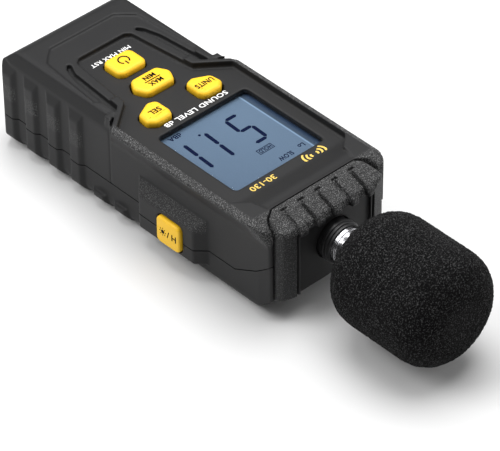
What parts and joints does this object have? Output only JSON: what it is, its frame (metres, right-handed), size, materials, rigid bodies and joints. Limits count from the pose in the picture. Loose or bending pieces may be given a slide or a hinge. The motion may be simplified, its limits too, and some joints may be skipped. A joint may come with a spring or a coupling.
{
  "type": "sound level meter",
  "caption": "Hand-held sound level meter: ribbed two-shell case, display window, yellow keys, side button, microphone barrel with a pull-off foam windscreen, battery cover in the back.",
  "frame": {"origin": "on the plane of the flat back, below the middle of the whole length and on the microphone's centre plane", "axes": "+Z out of the display, +Y towards the microphone, +X towards the side button"},
  "size_m": [0.0578, 0.1922, 0.0431],
  "materials": {
    "case": "matte black moulded plastic, fine spark texture on the rim and bosses",
    "key_rubber": "soft yellow keypad rubber",
    "foam": "black open-cell foam",
    "chrome": "bright plated barrel",
    "black_metal": "satin black",
    "window": "clear acrylic",
    "lcd": "blue-grey liquid crystal glass",
    "diffuser": "white diffusing plastic",
    "dark_plastic": "black plastic",
    "zebra_rubber": "layered contact rubber",
    "board": "green solder mask",
    "steel": "zinc plated",
    "cell": "printed sleeve",
    "brass": "turned brass"
  },
  "bodies": {
    "meter": {"front_shell": "case", "back_shell": "case", "mic_end_cap": "case", "case_screw_1": "steel", "case_screw_2": "steel", "case_screw_3": "steel", "case_screw_4": "steel", "display_window": "window", "lcd_glass": "lcd", "backlight": "diffuser", "lcd_frame": "dark_plastic", "zebra_strip_1": "zebra_rubber", "zebra_strip_2": "zebra_rubber", "main_board": "board", "side_switch_board": "board", "preamp_board": "board", "controller_chip": "dark_plastic", "mic_connector": "diffuser", "battery_connector": "diffuser", "board_screw_1": "steel", "board_screw_2": "steel", "power_switch": "dark_plastic", "max_min_switch": "dark_plastic", "select_switch": "dark_plastic", "units_switch": "dark_plastic", "side_switch": "dark_plastic", "mic_collar": "black_metal", "mic_barrel": "chrome", "mic_capsule": "black_metal", "battery_cell_1": "cell", "battery_cell_2": "cell", "battery_cell_3": "cell", "battery_spring_1": "steel", "battery_spring_2": "steel", "battery_spring_3": "steel", "battery_contact_1": "steel", "battery_contact_2": "steel", "tripod_nut": "brass"},
    "power_button": {"power_key": "key_rubber", "power_plunger": "steel"},
    "max_min_button": {"max_min_key": "key_rubber", "max_min_plunger": "steel"},
    "select_button": {"select_key": "key_rubber", "select_plunger": "steel"},
    "units_button": {"units_key": "key_rubber", "units_plunger": "steel"},
    "hold_button": {"side_button": "key_rubber", "side_plunger": "steel"},
    "battery_door": {"battery_cover": "case", "battery_cover_screw": "steel"},
    "foam_windscreen": {"windscreen": "foam"}
  },
  "joints": [
    {"name": "power_press", "type": "slide", "parent": "meter", "child": "power_button", "axis": [0, 0, -1], "range_m": [0, 0.0008], "stiffness_N_per_m": 1500, "springref_m": -0.0003},
    {"name": "max_min_press", "type": "slide", "parent": "meter", "child": "max_min_button", "axis": [0, 0, -1], "range_m": [0, 0.0008], "stiffness_N_per_m": 1500, "springref_m": -0.0003},
    {"name": "select_press", "type": "slide", "parent": "meter", "child": "select_button", "axis": [0, 0, -1], "range_m": [0, 0.0008], "stiffness_N_per_m": 1500, "springref_m": -0.0003},
    {"name": "units_press", "type": "slide", "parent": "meter", "child": "units_button", "axis": [0, 0, -1], "range_m": [0, 0.0008], "stiffness_N_per_m": 1500, "springref_m": -0.0003},
    {"name": "hold_press", "type": "slide", "parent": "meter", "child": "hold_button", "axis": [-1, 0, 0], "range_m": [0, 0.0008], "stiffness_N_per_m": 1500, "springref_m": -0.0003},
    {"name": "battery_door_lift", "type": "slide", "parent": "meter", "child": "battery_door", "axis": [0, 0, -1], "range_m": [0, 0.015]},
    {"name": "windscreen_pull", "type": "slide", "parent": "meter", "child": "foam_windscreen", "axis": [0, 1, 0], "range_m": [0, 0.02]}
  ]
}
